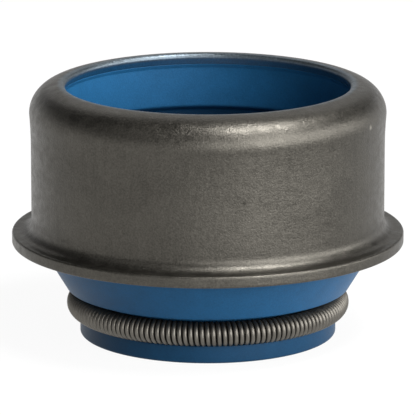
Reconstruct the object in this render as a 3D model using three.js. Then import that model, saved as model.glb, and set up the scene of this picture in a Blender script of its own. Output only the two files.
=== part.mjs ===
// Valve stem seal: a drawn steel case with a flange, a rubber body bonded inside it, and a garter
// spring round the rubber's sealing lip. It stands on the end face of the lip, on z = 0, with the
// open end that is pressed over the valve guide at the top. Millimetres, +Z up, axis on z.
import * as THREE from "three";
import { ParametricGeometry } from "three/addons/geometries/ParametricGeometry.js";

// What the seal fits: a valve guide at the top and a valve stem through its middle.
const GUIDE_DIAMETER = 12;
const GUIDE_SQUEEZE = 0.16; // how much the liner's bore is smaller than the guide
const STEM_DIAMETER = 8;
const STEM_SQUEEZE = 0.3; // how much the free lip is smaller than the stem

// Steel case.
const SHEET = 0.5;
const CASE_HEIGHT = 6.98; // from the flange's underside to the rim
const FLANGE_REACH = 0.85; // how far the flange stands out from the wall
const BEND_RADIUS = 0.52; // outside of the bend from the wall into the flange
const RIM_CLEARANCE = 0.17; // between the valve guide and the hole punched in the rim
const RIM_LAND = 0.23; // from that hole to the start of the shoulder's curve
const RIM_ROUND = 0.2; // rounding of the hole's upper edge, left by the punch
const RIM_FLARE = 0.13; // how much the hole widens from there to its lower edge
const SWELL = 0.063; // how far the wall stands out just below the shoulder
const SWELL_LENGTH = 1.5; // height over which the swell fades
const EDGE_CHAMFER = 0.08; // on the flange's outer corners

// Rubber body, from the rim down.
const MOUTH_FLARE = 0.07; // how much the liner's mouth is wider than the hole's lower edge
const MOUTH_LIP = 0.17; // height of the sloping lip between the two
const MOUTH_LENGTH = 1.76; // straight wall of the mouth, which the guide enters first
const LINER_WALL = 1.25; // rubber between the gripping bore and the case
const BORE_CHAMFER = 0.12;
const LAND_LENGTH = 1.3; // each gripping land in the bore
const GROOVE_WIDTH = 0.8; // the groove below the mouth and each groove between the lands
const GROOVE_DEPTH = 0.3;
const LEDGE_RISE = 0.28; // ledge for the guide's end, above the flange's underside
const THROAT_CLEARANCE = 0.45; // between the stem and the hole in the ledge
const THROAT_LENGTH = 0.8;
const CHAMBER_WIDENING = 0.9; // chamber under the throat, beyond the throat
const CHAMBER_HEIGHT = 0.4; // straight part of that chamber
const CONE_HEIGHT = 1.97; // from the cone's lower edge to the flange
const CONE_ROOT_STEP = 0.18; // cone at the flange, beyond the inside of the case
const CONE_EDGE_RISE = 0.2; // cone's lower edge, above the spring's channel
const CONE_EDGE_CHAMFER = 0.06;

// Sealing lip and garter spring.
const LIP_HEIGHT = 0.76; // ring below the spring's channel
const LIP_SETBACK = 0.043; // outside of that ring, in from the middle of the coil
const LIP_WALL = 1.2; // rubber between the lip's edge and the channel
const LIP_EDGE_LENGTH = 0.15;
const LIP_EDGE_DROP = 0.15; // lip's edge, below the middle of the coil
const LIP_RELIEF = 0.4; // opening below the lip's edge, beyond the edge
const LIP_CORNER = 0.1; // rounding of the ring's lower outer corner
const END_CHAMFER = 0.25; // round the opening in the lip's end face
const SPRING_CLEARANCE = 0.035; // between the coil and its channel
const COIL_DIAMETER = 1.07;
const WIRE_DIAMETER = 0.2;
const TURN_GAP = 0.009; // between turns, on the side of the coil nearest the axis

// Fineness of the surfaces.
const AROUND = 36;
const STEPS_PER_TURN = 6.25;
const WIRE_SIDES = 3;

const FULL_TURN = 2 * Math.PI;
const HALF_TURN = Math.PI;
const QUARTER_TURN = Math.PI / 2;
const BOND_END = THREE.MathUtils.degToRad(65); // how far the rubber follows the case's bend

// Radii that follow from the guide and the stem.
const boreRadius = (GUIDE_DIAMETER - GUIDE_SQUEEZE) / 2;
const rimRadius = GUIDE_DIAMETER / 2 + RIM_CLEARANCE;
const rimFootRadius = rimRadius + RIM_FLARE;
const mouthRadius = rimFootRadius + MOUTH_FLARE;
const insideRadius = boreRadius + LINER_WALL;
const wallRadius = insideRadius + SHEET;
const flangeRadius = wallRadius + FLANGE_REACH;
const shoulderRadius = wallRadius - rimRadius - RIM_LAND;
const throatRadius = STEM_DIAMETER / 2 + THROAT_CLEARANCE;
const chamberRadius = throatRadius + CHAMBER_WIDENING;
const lipEdgeRadius = (STEM_DIAMETER - STEM_SQUEEZE) / 2;
const reliefRadius = lipEdgeRadius + LIP_RELIEF;
const coilRadius = COIL_DIAMETER / 2;
const channelRadius = coilRadius + SPRING_CLEARANCE;
const springRadius = lipEdgeRadius + LIP_WALL + channelRadius;
const lipRadius = springRadius - LIP_SETBACK;
const coneEdgeRadius = springRadius + coilRadius;
const coneRootRadius = insideRadius + CONE_ROOT_STEP;

// Heights, stacked up from the end face of the lip.
const springHeight = LIP_HEIGHT + channelRadius;
const coneEdgeHeight = springHeight + channelRadius + CONE_EDGE_RISE;
const flangeUnderside = coneEdgeHeight + CONE_HEIGHT;
const flangeTop = flangeUnderside + SHEET;
const bendHeight = flangeTop + BEND_RADIUS;
const rimHeight = flangeUnderside + CASE_HEIGHT;
const linerTop = rimHeight - SHEET;
const shoulderFoot = rimHeight - shoulderRadius;
const mouthTop = linerTop - MOUTH_LIP;
const mouthFoot = mouthTop - MOUTH_LENGTH;
const gripTop = mouthFoot - GROOVE_WIDTH;
const ledgeHeight = flangeUnderside + LEDGE_RISE;
const throatFoot = ledgeHeight - THROAT_LENGTH;
const lipEdgeFoot = springHeight - LIP_EDGE_DROP - LIP_EDGE_LENGTH / 2;

// A corner of a section: its distance from the axis and its height.
function corner(radius, height) {
  return new THREE.Vector2(radius, height);
}

// An arc in a section, both ends included. Angles are counted from the outward direction.
function arc(radius, height, size, from, to, steps) {
  return Array.from({ length: steps + 1 }, (_, i) => {
    const angle = from + ((to - from) * i) / steps;
    return corner(radius + size * Math.cos(angle), height + size * Math.sin(angle));
  });
}

// A closed section turned once round the z axis. The section runs down on its side nearest the axis
// and up on its outer side.
function turned(section) {
  const geometry = new THREE.LatheGeometry([...section, section[0].clone()], AROUND);
  return geometry.rotateX(QUARTER_TURN);
}

// The case's shoulder and wall from the top down, for its inside or its outside: the curve from the
// flat top, then the swell, which fades with the square of the distance to its end, and the bend.
function shoulderAndWall(radius, curve) {
  const shoulderSteps = 5;
  const swellSteps = 2;
  const points = [];
  for (let i = 0; i < shoulderSteps; i++) {
    const angle = QUARTER_TURN * (1 - i / shoulderSteps);
    const across = (curve + SWELL) * Math.cos(angle);
    points.push(corner(radius - curve + across, shoulderFoot + curve * Math.sin(angle)));
  }
  for (let i = 0; i <= swellSteps; i++) {
    const left = 1 - i / swellSteps;
    points.push(corner(radius + SWELL * left * left, shoulderFoot - SWELL_LENGTH * (1 - left)));
  }
  return [...points, corner(radius, bendHeight)];
}

// The inside of the case's bend, from one angle below the wall to another.
function insideBend(from, to, steps) {
  const size = BEND_RADIUS + SHEET;
  return arc(wallRadius + BEND_RADIUS, bendHeight, size, HALF_TURN + from, HALF_TURN + to, steps);
}

// Where the rubber is bonded to the steel: under the rim, round the shoulder, down the wall and part
// of the way round the bend. Both pieces are made from these points, so they meet face to face.
function bondedSide() {
  return [
    corner(rimFootRadius, linerTop),
    ...shoulderAndWall(insideRadius, shoulderRadius - SHEET),
    ...insideBend(0, BOND_END, 2).slice(1),
  ];
}

function steelCase() {
  const outsideBend = arc(
    wallRadius + BEND_RADIUS,
    bendHeight,
    BEND_RADIUS,
    HALF_TURN + QUARTER_TURN,
    HALF_TURN,
    3,
  );
  return turned([
    ...bondedSide(),
    ...insideBend(BOND_END, QUARTER_TURN, 1).slice(1),
    corner(flangeRadius - EDGE_CHAMFER, flangeUnderside),
    corner(flangeRadius, flangeUnderside + EDGE_CHAMFER),
    corner(flangeRadius, flangeTop - EDGE_CHAMFER),
    corner(flangeRadius - EDGE_CHAMFER, flangeTop),
    ...outsideBend.slice(0, -1),
    ...shoulderAndWall(wallRadius, shoulderRadius).reverse(),
    ...arc(rimRadius + RIM_ROUND, rimHeight - RIM_ROUND, RIM_ROUND, QUARTER_TURN, HALF_TURN, 3),
  ]);
}

// The outside of the rubber below the case, from the bond down: a fillet, the cone with its sharp
// lower edge, the spring's channel and the ring of the lip.
function noseSide() {
  const slope = (coneRootRadius - coneEdgeRadius) / CONE_HEIGHT;
  const bond = insideBend(0, BOND_END, 1)[1];
  const filletHeight = SHEET / 2;
  const fillet = new THREE.QuadraticBezierCurve(
    bond,
    corner(coneRootRadius, flangeUnderside),
    corner(coneRootRadius - slope * filletHeight, flangeUnderside - filletHeight),
  );
  const channelEnd = HALF_TURN + Math.acos(LIP_SETBACK / channelRadius);
  return [
    ...fillet.getPoints(3).slice(1),
    corner(coneEdgeRadius + slope * CONE_EDGE_CHAMFER, coneEdgeHeight + CONE_EDGE_CHAMFER),
    corner(coneEdgeRadius - CONE_EDGE_CHAMFER, coneEdgeHeight),
    ...arc(springRadius, springHeight, channelRadius, QUARTER_TURN, channelEnd, 6),
    ...arc(lipRadius - LIP_CORNER, LIP_CORNER, LIP_CORNER, 0, -QUARTER_TURN, 2),
  ];
}

// The way through for the stem, from the end face up: the chamfer, the lip's sharp edge, the flank
// behind it, the chamber and the throat in the ledge.
function stemSide() {
  return [
    corner(reliefRadius + END_CHAMFER, 0),
    corner(reliefRadius, END_CHAMFER),
    corner(reliefRadius, lipEdgeFoot - LIP_RELIEF),
    corner(lipEdgeRadius, lipEdgeFoot),
    corner(lipEdgeRadius, lipEdgeFoot + LIP_EDGE_LENGTH),
    corner(chamberRadius, throatFoot - CHAMBER_HEIGHT),
    corner(chamberRadius, throatFoot),
    corner(throatRadius, throatFoot),
    corner(throatRadius, ledgeHeight),
  ];
}

// The bore that grips the valve guide, from the ledge up: lands with a groove between each two, then
// a groove under the wider mouth.
function gripSide() {
  const pitch = LAND_LENGTH + GROOVE_WIDTH;
  const room = gripTop - ledgeHeight - LAND_LENGTH / 2;
  const points = [corner(boreRadius, ledgeHeight)];
  for (let i = Math.floor(room / pitch); i > 0; i--) {
    const foot = gripTop - i * pitch;
    points.push(
      corner(boreRadius, foot),
      corner(boreRadius + GROOVE_DEPTH, foot + GROOVE_WIDTH / 4),
      corner(boreRadius + GROOVE_DEPTH, foot + (GROOVE_WIDTH * 3) / 4),
      corner(boreRadius, foot + GROOVE_WIDTH),
    );
  }
  return [
    ...points,
    corner(boreRadius, gripTop - BORE_CHAMFER),
    corner(boreRadius + BORE_CHAMFER, gripTop),
    corner(mouthRadius + GROOVE_DEPTH, gripTop + GROOVE_WIDTH / 4),
    corner(mouthRadius + GROOVE_DEPTH, gripTop + (GROOVE_WIDTH * 3) / 4),
    corner(mouthRadius, mouthFoot),
    corner(mouthRadius, mouthTop),
  ];
}

function rubberBody() {
  return turned([...bondedSide(), ...noseSide(), ...stemSide(), ...gripSide()].reverse());
}

// A round wire wound into a coil, and the coil bent into a closed ring. Going once round the axis
// the wire makes a whole number of turns, as many as lie side by side where the coil is tightest.
function garterSpring() {
  const windingRadius = (COIL_DIAMETER - WIRE_DIAMETER) / 2;
  const innerLength = FULL_TURN * (springRadius - windingRadius);
  const turns = Math.round(innerLength / (WIRE_DIAMETER + TURN_GAP));
  const radial = new THREE.Vector3();
  const around = new THREE.Vector3();
  const outward = new THREE.Vector3();
  function surface(u, v, target) {
    const place = (v % 1) * FULL_TURN;
    const winding = -((v * turns) % 1) * FULL_TURN;
    const side = -(u % 1) * FULL_TURN;
    radial.set(Math.cos(place), Math.sin(place), 0);
    outward.copy(radial).multiplyScalar(Math.cos(winding)).setZ(Math.sin(winding));
    around.set(-radial.y, radial.x, 0);
    target.copy(radial).multiplyScalar(springRadius).setZ(springHeight);
    target.addScaledVector(outward, windingRadius + (WIRE_DIAMETER / 2) * Math.cos(side));
    target.addScaledVector(around, (WIRE_DIAMETER / 2) * Math.sin(side));
  }
  return new ParametricGeometry(surface, WIRE_SIDES, Math.round(turns * STEPS_PER_TURN));
}

function finished(name, geometry, look) {
  const mesh = new THREE.Mesh(geometry, new THREE.MeshStandardMaterial(look));
  mesh.name = name;
  return mesh;
}

const seal = new THREE.Group();
seal.add(
  finished("steel_case", steelCase(), { color: 0x77736b, roughness: 0.5, metalness: 0.9 }),
  finished("rubber_body", rubberBody(), { color: 0x2a5f92, roughness: 0.55, metalness: 0 }),
  finished("garter_spring", garterSpring(), { color: 0x8d887e, roughness: 0.4, metalness: 0.9 }),
);

export default seal;
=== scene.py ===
"""Valve stem seal: the looks of its steel case, blue rubber body and garter spring.

Every new surface is a grid of points worked out with numpy from a section turned round the seal's
axis, or from a wire wound along a path. The seal's axis is z, its lip stands on z = 0, and lengths
are metres.
"""

import bpy
import numpy as np
from bpy.props import FloatProperty, FloatVectorProperty, IntProperty, PointerProperty
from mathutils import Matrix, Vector


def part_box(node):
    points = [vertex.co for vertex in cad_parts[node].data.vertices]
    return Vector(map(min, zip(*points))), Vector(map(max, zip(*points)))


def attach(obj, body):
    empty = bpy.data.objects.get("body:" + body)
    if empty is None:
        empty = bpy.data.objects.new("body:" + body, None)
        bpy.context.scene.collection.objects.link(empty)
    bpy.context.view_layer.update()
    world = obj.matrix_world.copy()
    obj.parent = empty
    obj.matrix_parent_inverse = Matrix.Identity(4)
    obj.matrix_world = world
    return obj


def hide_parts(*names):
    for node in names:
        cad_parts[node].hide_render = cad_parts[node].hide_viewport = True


bl_info = {
    "name": "Valve stem seal",
    "version": (1, 0, 0),
    "blender": (4, 5, 0),
    "location": "View3D > Sidebar > Seal",
    "description": "Builds a valve stem seal with its steel case, rubber body and garter spring",
    "category": "Add Mesh",
}

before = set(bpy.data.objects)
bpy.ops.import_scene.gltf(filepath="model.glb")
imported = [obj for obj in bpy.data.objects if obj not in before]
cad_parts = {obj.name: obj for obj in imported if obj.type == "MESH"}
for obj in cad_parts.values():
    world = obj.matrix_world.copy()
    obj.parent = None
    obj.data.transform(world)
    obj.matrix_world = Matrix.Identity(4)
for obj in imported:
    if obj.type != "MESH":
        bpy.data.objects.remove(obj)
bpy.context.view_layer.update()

MM = 0.001
PER_MM = 1 / MM
FULL_TURN = 2 * np.pi

# A film of rubber covers the wall of the rim's hole. Millimetres, each pair from where a change starts
# to where it ends: the film fades out at these depths below the rim's top and at these radii, and
# the hole's upper edge is painted paler and bluish out to the third pair, a trace of rubber with a
# painted highlight. The film is painted darker than the rubber itself, as painted shade under the rim's
# edge.
FILM_TOP = (0.3, 0.1)
FILM_REACH = (6.42, 6.5)
EDGE_REACH = (6.33, 6.58)
FILM_SHADE_LEVEL = 0.6

# How strongly the rubber mirrors, and how much painted shade darkens it on the lip and in the bore.
RUBBER_SHINE = 0.15
LIP_PAINTED_SHADE = 0.45
BORE_PAINTED_SHADE = 0.6

# Millimetres above the lip's end: painted shade darkens the rubber on the lip, up to the spring, and in
# the bore, from the ledge to the mouth's foot, where shade falls. Each pair is where a change starts
# and ends.
LIP_SHADE = (1.3, 1.7)
LEDGE_SHADE = (4.1, 4.4)
GROOVE_SHADE = (8.3, 8.75)

# How finely the pieces are cut: the facets round the axis, the length of a facet in a section, the
# fewest facets in a rounded corner of it, and the places along each turn of the wire and round the
# wire. Each piece stays under 200,000 triangles.
CASE_FACETS = 320
RUBBER_FACETS = 200
SECTION_STEP = 0.09 * MM
CORNER_FACETS = 5
WIRE_STEPS = 24
WIRE_SIDES = 10

# Roundings of the case's corners: at the hole's flared wall, at the flange's lower corner and where
# the rim's rounded upper edge ends.
PUNCHED_EDGE = 0.02 * MM
FLANGE_EDGE = 0.06 * MM
RIM_EDGE = 0.05 * MM

# Roundings of the rubber's corners, from the sharpest to the softest.
SHARP_EDGE = 0.015 * MM
LIP_EDGE = 0.03 * MM
LAND_EDGE = 0.04 * MM
CONE_EDGE = 0.05 * MM
THROAT_EDGE = 0.08 * MM
SOFT_EDGE = 0.1 * MM
GROOVE_EDGE = 0.12 * MM
FULL_EDGE = 0.15 * MM

# The spring's channel is rounded with nearly its own radius, and a groove slopes in over a quarter.
CHANNEL_ROUND = 0.98
GROOVE_SLOPE = 0.25

# Depths of the materials' bump.
STEEL_GRAIN = 0.1 * MM
RUBBER_GRAIN = 0.006 * MM
WIRE_GRAIN = 0.004 * MM

# Marks on the steel, in millimetres: a place, how far the mark reaches, and how much brighter it is.
MARKS = (
    ((6.93, -3.42, 9.83), 0.17, 2.6),
    ((1.53, -7.52, 7.49), 0.14, -0.45),
)

# Sizes read from the frame: the case, the rubber and the spring say where everything is.
CASE_LOW, CASE_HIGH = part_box("steel_case")
RUBBER_LOW, RUBBER_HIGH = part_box("rubber_body")
SPRING_LOW, SPRING_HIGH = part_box("garter_spring")
FLANGE_RADIUS = CASE_HIGH.x
FLANGE_UNDERSIDE = CASE_LOW.z
RIM_HEIGHT = CASE_HIGH.z
LINER_TOP = RUBBER_HIGH.z
SPRING_HEIGHT = (SPRING_LOW.z + SPRING_HIGH.z) / 2
SPRING_OUTSIDE = SPRING_HIGH.x


def length(name, millimetres, description):
    """A size of the seal, given in millimetres and kept in metres."""
    return FloatProperty(
        name=name,
        description=description,
        default=millimetres * MM,
        min=0,
        precision=5,
        unit="LENGTH",
    )


def colour(name, red, green, blue, description):
    """A colour of the seal, as linear red, green and blue."""
    return FloatVectorProperty(
        name=name,
        description=description,
        default=(red, green, blue),
        min=0,
        max=1,
        size=3,
        subtype="COLOR",
    )


class SealCaseSizes(bpy.types.PropertyGroup):
    """Sizes of the drawn steel case."""

    flange_reach: length("Flange reach", 0.85, "How far the flange stands out from the wall")
    bend_radius: length("Bend radius", 0.52, "Outside of the bend from the wall into the flange")
    flange_round: length("Flange rounding", 0.1, "Rounding of the flange's upper outer corner")
    rim_radius: length("Rim hole", 6.17, "Radius of the hole punched in the rim")
    rim_land: length("Rim land", 0.23, "From the hole to the start of the shoulder's curve")
    rim_round: length("Rim rounding", 0.2, "Height of the hole's rounded upper edge")
    rim_flare: length("Rim flare", 0.13, "How much the hole widens towards its lower edge")
    swell: length("Swell", 0.063, "How far the wall stands out just below the shoulder")
    swell_length: length("Swell length", 1.5, "Height over which the swell fades")


class SealRubberSizes(bpy.types.PropertyGroup):
    """Sizes of the moulded rubber body."""

    mouth_flare: length("Mouth flare", 0.07, "Mouth of the liner beyond the hole's lower edge")
    mouth_lip: length("Mouth lip", 0.17, "Height of the sloping lip between the two")
    mouth_length: length("Mouth length", 1.76, "Straight wall of the mouth")
    bore_radius: length("Bore", 5.92, "Radius of the bore that grips the valve guide")
    land_length: length("Land", 1.3, "Length of each gripping land in the bore")
    groove_width: length("Groove width", 0.8, "Width of the groove below the mouth and in the bore")
    groove_depth: length("Groove depth", 0.3, "Depth of each groove between the lands")
    ledge_rise: length("Ledge rise", 0.28, "Ledge for the guide's end, above the flange")
    throat_radius: length("Throat", 4.45, "Radius of the hole in the ledge")
    throat_length: length("Throat length", 0.8, "Thickness of the ledge")
    chamber_radius: length("Chamber", 5.35, "Radius of the chamber below the ledge")
    chamber_height: length("Chamber height", 0.4, "Straight part of the chamber")
    lip_edge_radius: length("Lip edge", 3.85, "Radius of the sharp edge that wipes the stem")
    lip_edge_length: length("Lip edge length", 0.15, "Height of that edge")
    lip_edge_drop: length("Lip edge drop", 0.15, "Lip edge below the middle of the spring")
    lip_relief: length("Lip relief", 0.4, "Opening below the lip's edge, beyond the edge")
    lip_setback: length("Lip setback", 0.043, "Outside of the lip in from the coil's middle")
    mouth_chamfer: length("Mouth chamfer", 0.25, "Chamfer of the opening in the end face")
    cone_root_radius: length("Cone root", 7.35, "Radius of the cone at the flange")
    cone_edge_height: length("Cone edge height", 2.1, "Height of the cone's lower edge")
    bond_rise: length("Bond rise", 0.55, "Where the bonded side leaves the wall, above the flange")
    bond_round: length("Bond rounding", 0.5, "Rounding of the bonded side there")
    bond_reach: length("Bond reach", 0.59, "How far the bonded side runs out under the bend")
    bond_edge: length("Bond edge", 0.1, "Height of its outer edge above the flange's underside")


class SealSpringSizes(bpy.types.PropertyGroup):
    """Sizes of the garter spring."""

    coil_diameter: length("Coil", 1.07, "Outside diameter of the coil")
    wire_diameter: length("Wire", 0.2, "Diameter of the wire")
    clearance: length("Clearance", 0.035, "Between the coil and its channel in the rubber")
    turns: IntProperty(name="Turns", description="Turns of the coil", default=156, min=3)


class SealColours(bpy.types.PropertyGroup):
    """Colours of the seal and of what it stands on."""

    steel: colour("Steel", 0.08, 0.075, 0.065, "Satin sheet steel")
    rubber: colour("Rubber", 0.011, 0.08, 0.185, "Blue moulded rubber")
    # Edge: a trace of rubber on the rim hole's upper edge, with a painted highlight of the light that
    # edge catches.
    edge: colour("Edge", 0.12, 0.145, 0.165, "Steel at the rim's hole, with a trace of rubber")
    wire: colour("Wire", 0.14, 0.131, 0.115, "Spring wire")
    floor: colour("Floor", 0.9, 0.9, 0.9, "Pale floor")


def rounded(corners, step):
    """A closed section through the corners, each a radius, a height and a rounding in metres.

    Each corner becomes a round arc that touches both of its sides, and each side is cut into pieces
    of about the given step. The result is an array of radius and height, one row to a point.
    """
    corners = np.array(corners, float)
    places = corners[:, :2]
    parts = []
    for here, before, after, size in zip(
        places, np.roll(places, 1, 0), np.roll(places, -1, 0), corners[:, 2]
    ):
        back = (before - here) / np.linalg.norm(before - here)
        ahead = (after - here) / np.linalg.norm(after - here)
        half = np.arccos(np.clip(back @ ahead, -1, 1)) / 2
        bisector = (back + ahead) / np.linalg.norm(back + ahead)
        centre = here + bisector * size / np.sin(half)
        start = here + back * size / np.tan(half) - centre
        end = here + ahead * size / np.tan(half) - centre
        sweep = np.pi - 2 * half
        count = max(CORNER_FACETS, int(np.ceil(sweep * size / step)))
        share = np.linspace(0, 1, count + 1)[:, None]
        blend = np.sin((1 - share) * sweep) * start + np.sin(share * sweep) * end
        parts.append(centre + blend / np.sin(sweep))
    outline = []
    for part, following in zip(parts, parts[1:] + parts[:1]):
        outline.append(part)
        side = following[0] - part[-1]
        count = int(np.ceil(np.linalg.norm(side) / step))
        share = np.arange(1, count)[:, None] / max(count, 1)
        outline.append(part[-1] + side * share)
    return np.concatenate(outline)


def turned(section, around):
    """The grid of a section turned once round the z axis.

    A point at radius r and height z, turned by the angle a, goes to (r cos a, r sin a, z).
    """
    angle = np.arange(around)[:, None] * FULL_TURN / around
    radius, height = section[:, 0], section[:, 1]
    flat = np.broadcast_to(height, (around, len(section)))
    return np.stack([radius * np.cos(angle), radius * np.sin(angle), flat], axis=-1)


def closed_surface(name, points):
    """A mesh object from a grid of points that joins up both ways, with its faces pointing out."""
    rows, columns = points.shape[:2]
    here = np.arange(rows * columns).reshape(rows, columns)
    beside = np.roll(here, -1, 1)
    quads = np.stack([here, np.roll(here, -1, 0), np.roll(beside, -1, 0), beside], axis=-1)
    mesh = bpy.data.meshes.new(name)
    mesh.from_pydata(points.reshape(-1, 3), [], quads.reshape(-1, 4), shade_flat=False)
    mesh.validate()
    piece = bpy.data.objects.new(name, mesh)
    bpy.context.scene.collection.objects.link(piece)
    return piece


def mount(piece, node, material):
    """Puts a finished piece in the place of its CAD node, with its material."""
    piece.data.materials.append(material)
    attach(piece, "root")
    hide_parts(node)


class Term:
    """A value or a colour inside a material, so that its formula can be written as Python."""

    def __init__(self, tree, socket=None):
        self.tree = tree
        self.socket = socket

    def node(self, kind, settings, inputs, output=0):
        """Any node: its settings are set first, then each input's value or link."""
        made = self.tree.nodes.new(kind)
        for name, value in settings.items():
            setattr(made, name, value)
        for name, value in inputs.items():
            if isinstance(value, Term):
                self.tree.links.new(value.socket, made.inputs[name])
            else:
                made.inputs[name].default_value = value
        return Term(self.tree, made.outputs[output])

    def maths(self, operation, *values):
        """A Math node on numbers or other terms."""
        return self.node("ShaderNodeMath", {"operation": operation}, dict(enumerate(values)))

    def __add__(self, other):
        return self.maths("ADD", self, other)

    def __sub__(self, other):
        return self.maths("SUBTRACT", self, other)

    def __rsub__(self, other):
        return self.maths("SUBTRACT", other, self)

    def __mul__(self, other):
        return self.maths("MULTIPLY", self, other)

    __radd__ = __add__
    __rmul__ = __mul__

    def ramp(self, low, high):
        """0 below low, 1 above high and a smooth step between them."""
        settings = {"interpolation_type": "SMOOTHSTEP"}
        return self.node(
            "ShaderNodeMapRange", settings, {"Value": self, "From Min": low, "From Max": high}
        )

    def scaled(self, x, y, z):
        """A place with its three coordinates multiplied."""
        return self.node("ShaderNodeVectorMath", {"operation": "MULTIPLY"}, {0: self, 1: (x, y, z)})

    def noise(self, per_mm, detail=2.0, roughness=0.5):
        """Cloudy noise about 0.5 at this place in millimetres, with so many clouds to a millimetre."""
        values = {"Vector": self, "Scale": per_mm, "Detail": detail, "Roughness": roughness}
        return self.node("ShaderNodeTexNoise", {}, values)

    def mixed(self, first, second):
        """The first colour where this term is 0 and the second where it is 1."""
        settings = {"data_type": "RGBA", "clamp_factor": True}
        return self.node("ShaderNodeMix", settings, {0: self, 6: first, 7: second}, 2)

    def tint(self, colour):
        """A colour times this term."""
        values = {0: colour, "Scale": self}
        return self.node("ShaderNodeVectorMath", {"operation": "SCALE"}, values)

    def distance(self):
        """How far this place is from the z axis."""
        values = {0: self.scaled(1, 1, 0)}
        return self.node("ShaderNodeVectorMath", {"operation": "LENGTH"}, values, "Value")

    def close_to(self, spot, reach):
        """1 at a spot, falling to 0 at the given reach from it."""
        values = {0: self, 1: spot}
        gap = self.node("ShaderNodeVectorMath", {"operation": "DISTANCE"}, values, "Value")
        return 1 - gap.ramp(0, reach)

    def seen(self):
        """1 for what is seen, mirrored or shows through glass, 0 for what only gives light."""
        share = 0
        for ray in ("Is Camera Ray", "Is Glossy Ray", "Is Transmission Ray"):
            share = share + self.node("ShaderNodeLightPath", {}, {}, ray)
        return share.maths("MINIMUM", share, 1)

    def height(self):
        """The z of this place or direction."""
        values = {0: self, 1: (0, 0, 1)}
        return self.node("ShaderNodeVectorMath", {"operation": "DOT_PRODUCT"}, values, "Value")


def new_material(name):
    """An empty material: its output node, and the place in millimetres as a term."""
    material = bpy.data.materials.new(name)
    material.use_nodes = True
    tree = material.node_tree
    tree.nodes.clear()
    output = tree.nodes.new("ShaderNodeOutputMaterial")
    place = Term(tree).node("ShaderNodeTexCoord", {}, {}, "Object")
    return material, output, place.scaled(PER_MM, PER_MM, PER_MM)


def finish_material(term, output, inputs, height, distance):
    """Ends a material: its bump from a height term, and its inputs, on the shader of all surfaces."""
    bump = term.node("ShaderNodeBump", {}, {"Height": height, "Distance": distance})
    shader = term.node("ShaderNodeBsdfPrincipled", {}, {**inputs, "Normal": bump})
    term.tree.links.new(shader.socket, output.inputs["Surface"])


def rgba(values):
    """A colour with full opacity."""
    return (*values, 1.0)


def satin_steel(colours):
    """Tumbled sheet steel: fine speckle, soft blotches, upright drawing lines, dents and dull patches.

    A film of the rubber wraps the hole in the rim, from just below its rounded upper edge, painted
    darker as shade under that edge; the edge itself is painted paler and bluish, a trace of rubber with
    a painted highlight.
    """
    material, output, place = new_material("satin_steel")
    speckle = place.noise(13.0, 2.0, 0.6) - 0.5
    blotch = place.noise(0.5, 3.0, 0.6) - 0.5
    lines = place.scaled(1, 1, 0.07).noise(6.0, 2.0, 0.6) - 0.5
    dents = place.scaled(1, 1, 2.5).noise(0.9, 3.0, 0.6)
    patches = place.scaled(1, 1, 1.6).noise(2.0, 3.0, 0.65) - 0.5
    level = 1 + 1.1 * speckle + 0.4 * blotch + 0.25 * lines
    for spot, reach, gain in MARKS:
        level = level + gain * place.close_to(spot, reach)
    rim_top = RIM_HEIGHT * PER_MM
    high = place.height().ramp(rim_top - FILM_TOP[0], rim_top - FILM_TOP[1])
    film = (1 - high) * (1 - place.distance().ramp(*FILM_REACH))
    # Painted highlight: the rim hole's rounded upper edge is painted paler and bluish, a trace of
    # rubber and light caught on the edge.
    edge_trace_and_highlight = 1 - place.distance().ramp(*EDGE_REACH)
    steel = edge_trace_and_highlight.mixed(level.tint(colours.steel), level.tint(colours.edge))
    values = {
        # Painted shade: the film's rubber colour is painted darker, as shade under the rim's edge.
        "Base Color": film.mixed(steel, (FILM_SHADE_LEVEL * level).tint(colours.rubber)),
        "Metallic": 1 - film,
        "Roughness": 0.41 + 0.2 * speckle + 0.35 * patches,
    }
    grain = 0.14 * dents + 0.06 * patches + 0.12 * speckle + 0.04 * lines
    finish_material(place, output, values, grain, STEEL_GRAIN)
    return material


def blue_rubber(colours):
    """Moulded rubber: nearly even blue with a soft mottle and a very fine skin."""
    material, output, place = new_material("blue_rubber")
    mottle = place.noise(1.4, 4.0, 0.6) - 0.5
    skin = place.noise(14.0, 2.0, 0.5) - 0.5
    height = place.height()
    # Painted shade: the lip, under the spring and the case, and the bore from the ledge to the mouth's
    # foot are painted darker.
    lip = 1 - height.ramp(*LIP_SHADE)
    bore = height.ramp(*LEDGE_SHADE) * (1 - height.ramp(*GROOVE_SHADE))
    shade = (1 - LIP_PAINTED_SHADE * lip) * (1 - BORE_PAINTED_SHADE * bore)
    level = (1 + 0.35 * mottle + 0.5 * skin) * shade
    values = {
        "Base Color": level.tint(colours.rubber),
        "Roughness": 0.46 + 0.2 * skin,
        "Specular IOR Level": RUBBER_SHINE,
    }
    finish_material(place, output, values, skin, RUBBER_GRAIN)
    return material


def spring_wire(colours):
    """Drawn wire, a little uneven in tone from turn to turn."""
    material, output, place = new_material("spring_wire")
    tone = place.noise(3.2, 3.0, 0.6) - 0.5
    level = 1 + 0.8 * tone
    values = {"Base Color": level.tint(colours.wire), "Metallic": 1.0, "Roughness": 0.46 + 0.2 * tone}
    finish_material(place, output, values, place.noise(18.0), WIRE_GRAIN)
    return material


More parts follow.
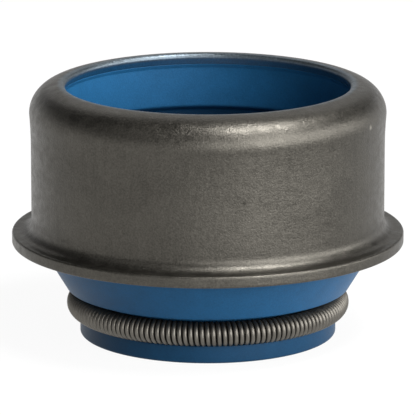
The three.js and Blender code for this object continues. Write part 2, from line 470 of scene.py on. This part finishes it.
def case_section(sizes):
    """The case's section, counted from the inside: down the inside, round the flange and back up.

    The wall swells out below the shoulder. The swell falls with the square of the depth below the
    shoulder's foot, and above it with the curve of the shoulder itself.
    """
    sheet = RIM_HEIGHT - LINER_TOP
    wall = FLANGE_RADIUS - sizes.flange_reach
    inside = wall - sheet
    curve = wall - sizes.rim_radius - sizes.rim_land
    flange_top = FLANGE_UNDERSIDE + sheet
    section = rounded(
        [
            (sizes.rim_radius + sizes.rim_flare, LINER_TOP, PUNCHED_EDGE),
            (inside, LINER_TOP, curve - sheet),
            (inside, FLANGE_UNDERSIDE, sizes.bend_radius + sheet),
            (FLANGE_RADIUS, FLANGE_UNDERSIDE, FLANGE_EDGE),
            (FLANGE_RADIUS, flange_top, sizes.flange_round),
            (wall, flange_top, sizes.bend_radius),
            (wall, RIM_HEIGHT, curve),
            (sizes.rim_radius, RIM_HEIGHT, sizes.rim_round - PUNCHED_EDGE),
            (sizes.rim_radius, RIM_HEIGHT - sizes.rim_round, RIM_EDGE),
        ],
        SECTION_STEP,
    )
    return swollen(section, sizes, inside - curve, RIM_HEIGHT - curve, curve)


def swollen(section, sizes, first, foot, curve):
    """The section with the case's swell, for every point further out than first."""
    radius, height = section.T
    below = np.clip(1 - (foot - height) / sizes.swell_length, 0, 1) ** 2
    above = np.sqrt(np.clip(1 - ((height - foot) / curve) ** 2, 0, 1))
    share = np.where(height > foot, above, below) * np.clip((radius - first) / curve, 0, 1)
    return np.stack([radius + sizes.swell * share, height], axis=-1)


def rubber_section(sizes, case, spring):
    """The rubber's section: down its bonded side, round the nose and up the bore."""
    sheet = RIM_HEIGHT - LINER_TOP
    wall = FLANGE_RADIUS - case.flange_reach
    inside = wall - sheet
    curve = wall - case.rim_radius - case.rim_land - sheet
    channel = spring.coil_diameter / 2 + spring.clearance
    middle = SPRING_OUTSIDE - spring.coil_diameter / 2
    lip = middle - sizes.lip_setback
    land_top = SPRING_HEIGHT - channel
    rim_foot = case.rim_radius + case.rim_flare
    mouth = rim_foot + sizes.mouth_flare
    mouth_top = LINER_TOP - sizes.mouth_lip
    mouth_foot = mouth_top - sizes.mouth_length
    grip_top = mouth_foot - sizes.groove_width
    slope = sizes.groove_width * GROOVE_SLOPE
    ledge = FLANGE_UNDERSIDE + sizes.ledge_rise
    throat_foot = ledge - sizes.throat_length
    edge_foot = SPRING_HEIGHT - sizes.lip_edge_drop - sizes.lip_edge_length / 2
    relief = sizes.lip_edge_radius + sizes.lip_relief
    corners = [
        (inside, LINER_TOP, curve),
        (inside, FLANGE_UNDERSIDE + sizes.bond_rise, sizes.bond_round),
        (inside + sizes.bond_reach, FLANGE_UNDERSIDE + sizes.bond_edge, SHARP_EDGE),
        (sizes.cone_root_radius, FLANGE_UNDERSIDE, GROOVE_EDGE),
        (SPRING_OUTSIDE, sizes.cone_edge_height, CONE_EDGE),
        (middle, SPRING_HEIGHT + channel, SHARP_EDGE),
        (middle - channel, SPRING_HEIGHT + channel, channel * CHANNEL_ROUND),
        (middle - channel, land_top, channel * CHANNEL_ROUND),
        (lip, land_top, SHARP_EDGE),
        (lip, 0, SOFT_EDGE),
        (relief + sizes.mouth_chamfer, 0, LIP_EDGE),
        (relief, sizes.mouth_chamfer, LIP_EDGE),
        (relief, edge_foot - sizes.lip_relief, LIP_EDGE),
        (sizes.lip_edge_radius, edge_foot, SHARP_EDGE),
        (sizes.lip_edge_radius, edge_foot + sizes.lip_edge_length, LIP_EDGE),
        (sizes.chamber_radius, throat_foot - sizes.chamber_height, FULL_EDGE),
        (sizes.chamber_radius, throat_foot, SOFT_EDGE),
        (sizes.throat_radius, throat_foot, THROAT_EDGE),
        (sizes.throat_radius, ledge, THROAT_EDGE),
        (sizes.bore_radius, ledge, SOFT_EDGE),
        *bore_grooves(sizes, ledge, grip_top),
        (sizes.bore_radius, grip_top, GROOVE_EDGE),
        (mouth + sizes.groove_depth, grip_top + slope, GROOVE_EDGE),
        (mouth + sizes.groove_depth, mouth_foot - slope, GROOVE_EDGE),
        (mouth, mouth_foot, FULL_EDGE),
        (mouth, mouth_top, SOFT_EDGE),
        (rim_foot, LINER_TOP, SHARP_EDGE),
    ]
    return rounded(corners[::-1], SECTION_STEP)


def bore_grooves(sizes, ledge, grip_top):
    """Corners of the grooves between the gripping lands, from the ledge up."""
    pitch = sizes.land_length + sizes.groove_width
    count = int((grip_top - ledge - sizes.land_length / 2) / pitch)
    root = sizes.bore_radius + sizes.groove_depth
    slope = sizes.groove_width * GROOVE_SLOPE
    corners = []
    for i in range(count, 0, -1):
        foot = grip_top - i * pitch
        top = foot + sizes.groove_width
        corners += [
            (sizes.bore_radius, foot, LAND_EDGE),
            (root, foot + slope, GROOVE_EDGE),
            (root, top - slope, GROOVE_EDGE),
            (sizes.bore_radius, top, LAND_EDGE),
        ]
    return corners


def wound_wire(sizes):
    """The grid of a round wire wound into a coil that is bent into a closed ring.

    At the angle a round the ring, counted from the front, the wire's middle is at the winding angle
    w = -turns times a, so its distance from the axis is R + r cos w and its height is r sin w above
    the ring's middle.
    The wire's own circle lies across the winding, in the outward and the onward direction.
    """
    radius = (sizes.coil_diameter - sizes.wire_diameter) / 2
    ring = SPRING_OUTSIDE - sizes.coil_diameter / 2
    front = -FULL_TURN / 4
    places = sizes.turns * WIRE_STEPS
    share = np.arange(places)[:, None] / places
    around = front + share * FULL_TURN
    winding = -share * FULL_TURN * sizes.turns
    side = -np.arange(WIRE_SIDES)[None, :] * FULL_TURN / WIRE_SIDES
    outward = radius + sizes.wire_diameter / 2 * np.cos(side)
    onward = sizes.wire_diameter / 2 * np.sin(side)
    distance = ring + outward * np.cos(winding)
    height = SPRING_HEIGHT + outward * np.sin(winding)
    x = distance * np.cos(around) - onward * np.sin(around)
    y = distance * np.sin(around) + onward * np.cos(around)
    return np.stack([x, y, height], axis=-1)


class SEAL_OT_case(bpy.types.Operator):
    """Build the drawn steel case"""

    bl_idname = "seal.case"
    bl_label = "Steel case"

    def execute(self, context):
        section = case_section(context.scene.seal_case)
        piece = closed_surface("case_shell", turned(section, CASE_FACETS))
        mount(piece, "steel_case", satin_steel(context.scene.seal_colours))
        return {"FINISHED"}


class SEAL_OT_rubber(bpy.types.Operator):
    """Build the moulded rubber body"""

    bl_idname = "seal.rubber"
    bl_label = "Rubber body"

    def execute(self, context):
        scene = context.scene
        section = rubber_section(scene.seal_rubber, scene.seal_case, scene.seal_spring)
        piece = closed_surface("rubber_moulding", turned(section, RUBBER_FACETS))
        mount(piece, "rubber_body", blue_rubber(scene.seal_colours))
        return {"FINISHED"}


class SEAL_OT_spring(bpy.types.Operator):
    """Build the garter spring"""

    bl_idname = "seal.spring"
    bl_label = "Garter spring"

    def execute(self, context):
        piece = closed_surface("garter_coil", wound_wire(context.scene.seal_spring))
        mount(piece, "garter_spring", spring_wire(context.scene.seal_colours))
        return {"FINISHED"}


# Camera: it stands so far from the axis and so high above the horizon, aimed at a point on the axis.
# Lens and sensor are in millimetres, as Blender has them, and the shift is a share of the picture.
CAMERA_DISTANCE = 203.2 * MM
CAMERA_ELEVATION = np.radians(13.66)
CAMERA_AIM = 5.503 * MM
CAMERA_LENS = 405.3
CAMERA_SENSOR = 36
CAMERA_SHIFT = -0.0008
CAMERA_NEAR = 10 * MM

# Lamps: name, azimuth and elevation in degrees, distance, width and height in metres, and power.
LAMPS = (
    ("key", 58, 64, 0.3, 0.15, 0.06, 1.15),
    ("low front", 12, 12, 0.35, 0.2, 0.12, 0.32),
    ("low right front", 48, 16, 0.35, 0.28, 0.24, 1.35),
    ("low right", 92, 14, 0.35, 0.22, 0.12, 0.42),
    ("upper right", 60, 42, 0.35, 0.3, 0.2, 0.15),
    ("upper left", -50, 42, 0.35, 0.3, 0.2, 0.08),
    ("back", 180, 42, 0.35, 0.3, 0.2, 0.2),
)

# Surroundings: the plain light they give, and what is seen or mirrored of them, white at the horizon
# and this dim overhead. The fade is given as the height of a direction of length 1.
WORLD_LIGHT = 0.08
HORIZON_FADE = (0.05, 0.33)
OVERHEAD = 0.08

# Floor: half its side in metres, the share of its seen colour that glows white, and the grey of its
# bounce on to the seal.
FLOOR_HALF = 0.6
FLOOR_GLOW = 0.94
FLOOR_BOUNCE = 0.3


def add_camera(scene):
    """The camera at the photograph's angle, looking along +Y and down."""
    data = bpy.data.cameras.new("camera")
    data.sensor_width = CAMERA_SENSOR
    data.lens = CAMERA_LENS
    data.shift_x = CAMERA_SHIFT
    data.clip_start = CAMERA_NEAR
    camera = bpy.data.objects.new("camera", data)
    back = Vector((0, -np.cos(CAMERA_ELEVATION), np.sin(CAMERA_ELEVATION)))
    camera.location = Vector((0, 0, CAMERA_AIM)) + back * CAMERA_DISTANCE
    camera.rotation_euler = (-back).to_track_quat("-Z", "Y").to_euler()
    scene.collection.objects.link(camera)
    scene.camera = camera


def add_lamp(scene, name, azimuth, elevation, distance, width, height, power):
    """A soft lamp aimed at the seal. Azimuth 0 is the camera's side and 90 the right."""
    data = bpy.data.lights.new(name, "AREA")
    data.shape = "RECTANGLE"
    data.size = width
    data.size_y = height
    data.energy = power
    lamp = bpy.data.objects.new(name, data)
    turn, rise = np.radians(azimuth), np.radians(elevation)
    aim = Vector((0, 0, RIM_HEIGHT / 2))
    away = Vector(
        (np.sin(turn) * np.cos(rise), -np.cos(turn) * np.cos(rise), np.sin(rise))
    )
    lamp.location = aim + away * distance
    lamp.rotation_euler = (-away).to_track_quat("-Z", "Y").to_euler()
    scene.collection.objects.link(lamp)


def add_floor(scene, colours):
    """The pale floor: seen nearly white, with a trace of shadow, and a dimmer bounce on to the seal."""
    corners = FLOOR_HALF * np.array([(-1, -1, 0), (1, -1, 0), (1, 1, 0), (-1, 1, 0)])
    mesh = bpy.data.meshes.new("floor")
    mesh.from_pydata(corners, [], [(0, 1, 2, 3)])
    floor = bpy.data.objects.new("floor", mesh)
    scene.collection.objects.link(floor)
    material, output, place = new_material("pale_floor")
    dim = place.node("ShaderNodeBsdfDiffuse", {}, {"Color": rgba(3 * [FLOOR_BOUNCE])})
    shaded = place.node("ShaderNodeBsdfDiffuse", {}, {"Color": rgba(colours.floor)})
    white = place.node("ShaderNodeEmission", {}, {"Color": (1, 1, 1, 1), "Strength": 1.0})
    pale = place.node("ShaderNodeMixShader", {}, {0: FLOOR_GLOW, 1: shaded, 2: white})
    both = place.node("ShaderNodeMixShader", {}, {0: place.seen(), 1: dim, 2: pale})
    place.tree.links.new(both.socket, output.inputs["Surface"])
    mesh.materials.append(material)


def add_world(scene):
    """The surrounding: a white horizon that darkens with height, and a plain dim light."""
    world = bpy.data.worlds.new("surrounding")
    world.use_nodes = True
    tree = world.node_tree
    tree.nodes.clear()
    output = tree.nodes.new("ShaderNodeOutputWorld")
    direction = Term(tree).node("ShaderNodeTexCoord", {}, {}, "Generated")
    shown = direction.height().ramp(*HORIZON_FADE).mixed(rgba(3 * [1.0]), rgba(3 * [OVERHEAD]))
    colour = direction.seen().mixed(rgba(3 * [WORLD_LIGHT]), shown)
    background = direction.node("ShaderNodeBackground", {}, {"Color": colour})
    tree.links.new(background.socket, output.inputs["Surface"])
    scene.world = world


class SEAL_OT_stage(bpy.types.Operator):
    """Build the floor, the lights and the camera"""

    bl_idname = "seal.stage"
    bl_label = "Stage"

    def execute(self, context):
        scene = context.scene
        scene.view_settings.view_transform = "Standard"
        add_camera(scene)
        add_world(scene)
        add_floor(scene, scene.seal_colours)
        for lamp in LAMPS:
            add_lamp(scene, *lamp)
        return {"FINISHED"}


class SEAL_PT_panel(bpy.types.Panel):
    """Lists the seal's pieces, sizes and colours"""

    bl_idname = "SEAL_PT_panel"
    bl_label = "Valve stem seal"
    bl_space_type = "VIEW_3D"
    bl_region_type = "UI"
    bl_category = "Seal"

    def draw(self, context):
        for operator in OPERATORS:
            self.layout.operator(operator.bl_idname)
        for name in GROUPS:
            box = self.layout.box()
            group = getattr(context.scene, name)
            for item in group.__annotations__:
                box.prop(group, item)


GROUPS = {
    "seal_case": SealCaseSizes,
    "seal_rubber": SealRubberSizes,
    "seal_spring": SealSpringSizes,
    "seal_colours": SealColours,
}
OPERATORS = (SEAL_OT_stage, SEAL_OT_case, SEAL_OT_rubber, SEAL_OT_spring)


def register():
    """Registers the groups, the operators and the panel."""
    for name, group in GROUPS.items():
        bpy.utils.register_class(group)
        setattr(bpy.types.Scene, name, PointerProperty(type=group))
    for operator in OPERATORS:
        bpy.utils.register_class(operator)
    bpy.utils.register_class(SEAL_PT_panel)


def unregister():
    """Takes them all out again."""
    bpy.utils.unregister_class(SEAL_PT_panel)
    for operator in reversed(OPERATORS):
        bpy.utils.unregister_class(operator)
    for name, group in reversed(GROUPS.items()):
        delattr(bpy.types.Scene, name)
        bpy.utils.unregister_class(group)


def main():
    """Builds the scene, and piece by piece."""
    register()
    bpy.ops.seal.stage()
    bpy.ops.seal.case()
    bpy.ops.seal.rubber()
    bpy.ops.seal.spring()


if __name__ == "__main__":
    main()
